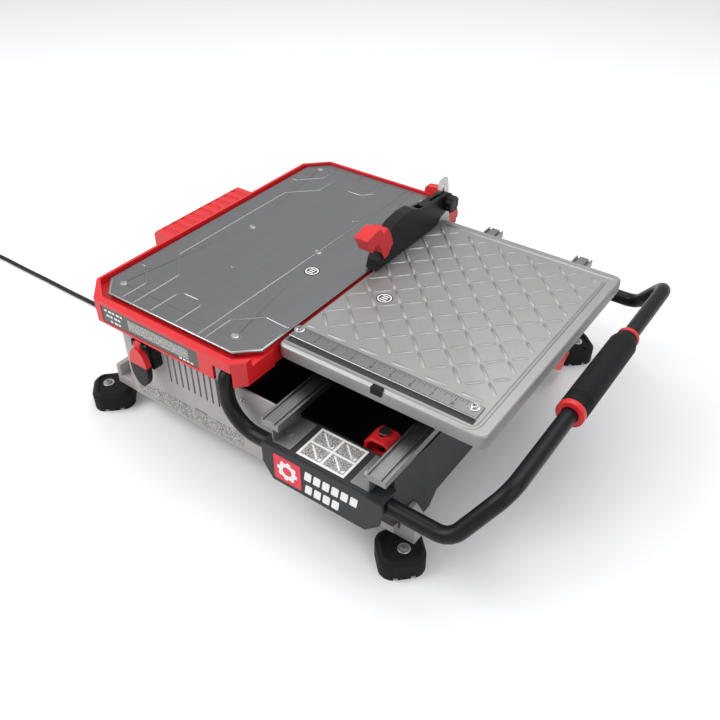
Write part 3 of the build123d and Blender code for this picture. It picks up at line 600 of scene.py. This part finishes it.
def makeRuler():
    x0, x1 = ruler["x"]
    y0, y1 = ruler["y"]
    top = ruler["top"]
    bm = bmesh.new()
    outline = [(y0, 0.05), (y1, 0.05), (y1, top - 1.0), (y1 - 1.6, top), (y0 + 0.8, top), (y0, top - 0.8)]
    prism(bm, outline, "x", x0, x1)
    strip = makePiece("rulerStrip", bm, "tableAlloy", "table", ["ruler"], soften=0.25)
    strip.data.materials[0] = finishes["railAlloy"]
    bm = bmesh.new()
    count = int((x1 - ruler["zero"] - 3) / (ruler["inch"] / 8))
    for k in range(count + 1):
        x = ruler["zero"] + ruler["inch"] / 8 * k
        length = tickLengths.get(k % 8, 3.6)
        wide = 0.42 if k % 8 == 0 else 0.3
        brick(bm, x - wide, x + wide, y1 - 2 - length, y1 - 2, top - 0.05, top + 0.06)
    brick(bm, x0 + 2, x1 - 2, y0 + 1.0, y0 + 1.6, top - 0.05, top + 0.06)
    for k in range(1, ruler["numbers"]):
        letters = bpy.data.curves.new("digit", "FONT")
        letters.body = str(k)
        letters.size = ruler["textSize"] / 1000
        letters.align_x, letters.align_y = "CENTER", "CENTER"
        letters.extrude = 0.00006
        letters.resolution_u = 3
        sign = bpy.data.objects.new("digit", letters)
        shape = bpy.data.meshes.new_from_object(sign)
        shape.transform(Matrix.Translation(at(ruler["zero"] + ruler["inch"] * k, -13.4, top)))
        bm.from_mesh(shape)
        bpy.data.objects.remove(sign)
        bpy.data.meshes.remove(shape)
    makePiece("rulerMarks", bm, "inkAndShadeBlack", "table")
    for name, look, profile in (
            ("rulerWashers", "screwZincAndHighlight", [(top - 0.2, 6.2), (top + 0.7, 6.2), (top + 0.9, 5.8),
                                           (top + 0.9, 0.1)]),
            ("rulerCaps", "machinedSteel", [(top + 0.7, 4.2), (top + 2.7, 4.3), (top + 3.1, 3.8),
                                            (top + 3.1, 2.2), (top + 1.4, 2.0), (top + 1.4, 0.05)])):
        bm = bmesh.new()
        for x in ruler["bolts"]:
            turned(bm, "z", (x, ruler["boltY"]), profile, 28 if look == "screwZincAndHighlight" else 24)
        makePiece(name, bm, look, "table", ["ruler_bolts"] if look == "screwZincAndHighlight" else ())


makeRuler()
dress("plasticBlack", "table_stop", soften=0.4)
print("ruler made")

# tray, its print, and the base
tray = {"front": -101.0, "label": (-222.0, -60.0, -27.0, -2.0), "band": (-208.0, -26.0, -148.0, -125.0)}


def frontCard(bm, x0, x1, z0, z1, y, lift):
    # thin card standing on a wall that faces the front
    prism(bm, [(x0, z0), (x1, z0), (x1, z1), (x0, z1)], "y", y - lift, y + 0.05)


def makeTrayLabel():
    x0, x1, z0, z1 = tray["label"]
    y = tray["front"] + 1
    bm = bmesh.new()
    frontCard(bm, x0 + 0.4, x1 - 0.4, z0 + 0.4, z1 - 0.4, y, 0.3)
    makePiece("trayLabel", bm, "labelDark", "base")
    bm = bmesh.new()                              # rows of fine print
    frontCard(bm, x0 + 46, x1 - 16, z0 + 5.5, z1 - 4.5, y, 0.45)
    makePiece("trayPrint", bm, "printGrey", "base")
    bm = bmesh.new()
    for row, (start, count) in enumerate(((x0 + 6, 5), (x0 + 8, 4), (x0 + 14, 3))):
        z = z1 - 6 - 7 * row
        for k in range(count):
            left, wide = start + 6.8 * k, 5.4 if (k + row) % 2 else 3.8
            frontCard(bm, left, left + wide, z - 1.3, z + 1.3, y, 0.45)
    for k in range(4):
        frontCard(bm, x1 - 32 + 6 * k, x1 - 28 + 6 * k, z0 + 2.2, z0 + 4.4, y, 0.45)
    makePiece("trayPrintLight", bm, "inkWhite", "base")


def makeBaseLabel():
    x0, x1, z0, z1 = tray["band"]
    bm = bmesh.new()
    frontCard(bm, x0, x0 + 97, z0, z1, -80, 0.25)
    frontCard(bm, x0 + 101, x1, z0, z1, -80, 0.25)
    makePiece("baseLabel", bm, "printGrey", "base")
    bm = bmesh.new()
    frontCard(bm, x0 + 2, x0 + 22, z1 + 1.0, z1 + 2.2, -80, 0.25)
    frontCard(bm, x0 + 103, x0 + 124, z1 + 1.0, z1 + 2.2, -80, 0.25)
    makePiece("baseLabelLine", bm, "labelDark", "base")


makeTrayLabel()
makeBaseLabel()
bodyScrew = bmesh.new()
turned(bodyScrew, "y", (-18, -67), [(-79.5, 3.4), (-80.6, 3.8), (-81.6, 3.2), (-82, 2.0), (-81, 1.6),
                                    (-81, 0.05)], 20)
makePiece("bodyScrew", bodyScrew, "machinedSteel", "base")
dress("plasticRed", "deck_tray", soften=0.9)
dress("plasticRed", "side_handle", soften=1.2)
dress("plasticRed", "rear_hump", soften=2.2)
dress("shellGrey", "base_shell", "corner_legs", soften=0.8)
dress("plasticBlack", "water_pan", "tube_clamps", soften=0.6)
print("tray and base made")

# guard and knife
dress("plasticBlack", "blade_guard", soften=2.4)
dress("plasticRed", "guard_nose", soften=1.2)
dress("plasticBlack", "guard_knob", soften=0.8)
dress("machinedSteel", "riving_knife", "blade")
makeKnobFace = bmesh.new()
turned(makeKnobFace, "x", (320, 26), [(20.8, 8.2), (21.4, 8.0), (21.6, 6.6), (21.2, 6.0), (21.2, 0.1)], 32)
makePiece("knobFace", makeKnobFace, "panelDark", "clamp_knob")
print("guard made")

# handle and its grip
grip = {"x": 309.5, "z": -30.0, "front": 84.0, "back": 228.0, "radius": 16.5}


def makeGrip():
    x, z, r = grip["x"], grip["z"], grip["radius"]
    front, back = grip["front"], grip["back"]
    profile = [(front + 0.1, 10.0), (front + 0.1, r - 1.6), (front + 1.0, r - 0.5), (front + 2.4, r)]
    for k in range(3):                                    # shallow rings near the front end
        y = front + 8 + 4 * k
        profile += [(y, r), (y + 0.5, r - 0.7), (y + 1.5, r - 0.7), (y + 2.0, r)]
    profile += [(back - 3, r), (back - 0.8, r - 0.6), (back + 3, r - 1.9), (back + 11.5, r - 3.3),
                (back + 11.6, 10.0)]
    bm = bmesh.new()
    turned(bm, "y", (x, z), profile, 56)
    makePiece("gripSleeve", bm, "rubberBlack", "base", ["grip"], crease=40)
    bm = bmesh.new()                                      # raised plain oval on the outer side
    middle = (front + back) / 2
    oval, inner = ([(middle + a * math.cos(2 * math.pi * k / 48), b * math.sin(2 * math.pi * k / 48))
                    for k in range(48)] for a, b in ((26, 6.5), (23.5, 4.3)))

    def wrapped(outline, lift):
        made = []
        for y, a in outline:
            turn = math.radians(52) + a / r
            made.append(at(x - (r + lift) * math.cos(turn), y, z + (r + lift) * math.sin(turn)))
        return made

    loft(bm, [wrapped(oval, -0.3), wrapped(oval, 0.35), wrapped(inner, 0.35), wrapped(inner, -0.3)],
         loop=True)
    makePiece("gripOval", bm, "rubberBlack", "base", crease=50)


makeGrip()
dress("plasticRed", "grip_collars", soften=1.0)
dress("tubeBlack", "roll_cage")
print("handle made")

# front skirt with the badge
badge = {"y": -111.7, "square": (53.0, 91.5, -120.5, -83.0), "barTop": (96, 170, -98.5, -85.5),
         "barLow": (96, 153, -119.0, -106.0), "bar": 9.0, "gap": 3.2, "lean": 2.2}


def makeBadge():
    y = badge["y"]
    x0, x1, z0, z1 = badge["square"]
    bm = bmesh.new()
    prism(bm, roundRect(x0, x1, z0, z1, 2.5), "y", y - 0.5, y + 0.1)
    makePiece("badgeSquare", bm, "inkRed", "base", soften=0.2)
    bm = bmesh.new()                                      # plain toothed wheel
    middle = ((x0 + x1) / 2, (z0 + z1) / 2)
    outer, inner = [], []
    for k in range(64):
        turn = 2 * math.pi * (k + 0.5) / 64
        reach = 14.2 if (k // 4) % 2 else 11.8
        outer.append((middle[0] + reach * math.cos(turn), middle[1] + reach * math.sin(turn)))
        inner.append((middle[0] + 6.5 * math.cos(turn), middle[1] + 6.5 * math.sin(turn)))
    rings = [[at(a, level, b) for a, b in outline] for outline, level in
             ((inner, y - 0.3), (inner, y - 0.9), (outer, y - 0.9), (outer, y - 0.3))]
    loft(bm, rings, loop=True)
    makePiece("badgeWheel", bm, "inkWhite", "base")
    bm = bmesh.new()                                      # two rows of plain slanted bars
    for left, right, low, high in (badge["barTop"], badge["barLow"]):
        x = left
        while x + badge["bar"] <= right:
            prism(bm, eased([(x, low), (x + badge["bar"], low), (x + badge["bar"] + badge["lean"], high),
                             (x + badge["lean"], high)], 1.2, 2), "y", y - 0.7, y + 0.1)
            x += badge["bar"] + badge["gap"]
    makePiece("badgeBars", bm, "inkWhite", "base")


def makeShelfLabel():
    # four plain panels on a light card
    x0, x1, y0, y1, z = 78.5, 142.8, -103.0, -55.5, -76.0
    bm = bmesh.new()
    prism(bm, [(x0, y0), (x1, y0), (x1, y1), (x0, y1)], "z", z - 0.05, z + 0.25)
    makePiece("shelfCard", bm, "inkWhite", "base")
    panels, bands = bmesh.new(), bmesh.new()
    wide, tall = (x1 - x0 - 9) / 2, (y1 - y0 - 9) / 2
    for i in range(2):
        for j in range(2):
            left, low = x0 + 3 + i * (wide + 3), y0 + 3 + j * (tall + 3)
            brick(panels, left, left + wide, low, low + tall, z + 0.2, z + 0.34)
            prism(bands, [(left + 3, low + tall - 2), (left + 6, low + tall - 2), (left + wide - 4, low + 2),
                          (left + wide - 7, low + 2)], "z", z + 0.3, z + 0.42)
            prism(bands, [(left + wide - 9, low + 1.5), (left + wide - 1.5, low + 1.5),
                          (left + wide - 1.5, low + 6)], "z", z + 0.3, z + 0.42)
    makePiece("shelfPanels", panels, "printGrey", "base")
    makePiece("shelfBands", bands, "inkWhite", "base")


makeBadge()
makeShelfLabel()
dress("panelDark", "badge_plate", "front_shelf", "right_panel", soften=0.8)
dress("railAlloy", "rails", soften=0.4)
dress("castHousing", "rail_brackets", soften=0.4)
print("skirt made")

# switch, latch, drain lever and feet
dress("plasticRed", "paddle_top", soften=1.6)
dress("plasticBlack", "paddle_base", soften=1.6)
dress("plasticBlack", "switch_box", "switch_module", "latch_bracket", soften=0.8)
dress("plasticRed", "drain_plug", soften=1.0)

latch = {"x": 146.0, "front": -47.0, "back": -21.0, "foot": -93.5, "top": -64.4, "half": 17.0}


def makeLatch():
    mid, half = latch["x"], latch["half"]
    foot, top = latch["foot"], latch["top"]
    outer = eased([(mid - half, foot), (mid + half, foot), (mid + half, top - 3), (mid + half - 7, top),
                   (mid - half + 9, top), (mid - half, top - 9)], 5, 5)
    inner = eased([(mid - half + 5, foot + 7), (mid + half - 4, foot + 7), (mid + half - 4, top - 6),
                   (mid + half - 9, top - 4), (mid - half + 11, top - 4), (mid - half + 5, top - 10)], 4, 4)
    bm = bmesh.new()
    prism(bm, outer, "y", latch["front"], latch["back"])
    piece = makePiece("latchHandle", bm, "plasticRed", "latch", ["table_latch"])
    carve(piece, lambda bm: prism(bm, inner, "y", latch["front"] - 1, latch["back"] - 7))
    carve(piece, lambda bm: turned(bm, "z", (mid, -34), [(foot - 1, 4.1), (top + 1, 4.1)], 32))
    softenEdges(piece, 1.0)
    bm = bmesh.new()
    back = latch["back"]
    turned(bm, "y", (mid, foot + 13), [(back - 7.2, 4.6), (back - 9, 4.8), (back - 10.4, 4.0),
                                       (back - 10.4, 2.0), (back - 9, 1.8), (back - 9, 0.05)], 24)
    makePiece("latchScrew", bm, "machinedSteel", "latch")


def makeFootBolts():
    washers, heads = bmesh.new(), bmesh.new()
    for x in (-275.0, 208.8):
        for y in (-82.0, 380.0):
            turned(washers, "z", (x, y), [(-165, 5.0), (-165, 7.4), (-163.9, 7.5), (-163.5, 7.1),
                                          (-163.5, 5.0)], 32, loop=True)
            turned(heads, "z", (x, y), [(-174.5, 2.5), (-165, 2.5), (-164.9, 5.1), (-162.6, 4.6),
                                        (-161.6, 3.6), (-161.5, 2.0), (-163, 1.7), (-163, 0.05)], 28)
    makePiece("footWashers", washers, "screwZincAndHighlight", "base", ["foot_bolts"])
    makePiece("footBoltHeads", heads, "castHousing", "base")


makeLatch()
makeFootBolts()
dress("rubberBlack", "rubber_feet", soften=1.2)
print("fittings made")

# inner works that show only from behind or below
dress("nylonWhite", "roller_front_left", "roller_rear_left", "roller_front_right", "roller_rear_right",
      soften=0.5)
dress("castHousing", "carriages", "motor_housing", "motor_cap", "knife_bracket", soften=0.6)
dress("copperCoil", "stator", "rotor")
dress("plasticBlack", "brushes")
dress("machinedSteel", "arbor", "flanges", "arbor_nut", "bearings", "roller_axles", "paddle_pin",
      "latch_post", soften=0.3)
dress("screwZincAndHighlight", "knife_screws", "guard_bolt", "rail_screws", soften=0.3)
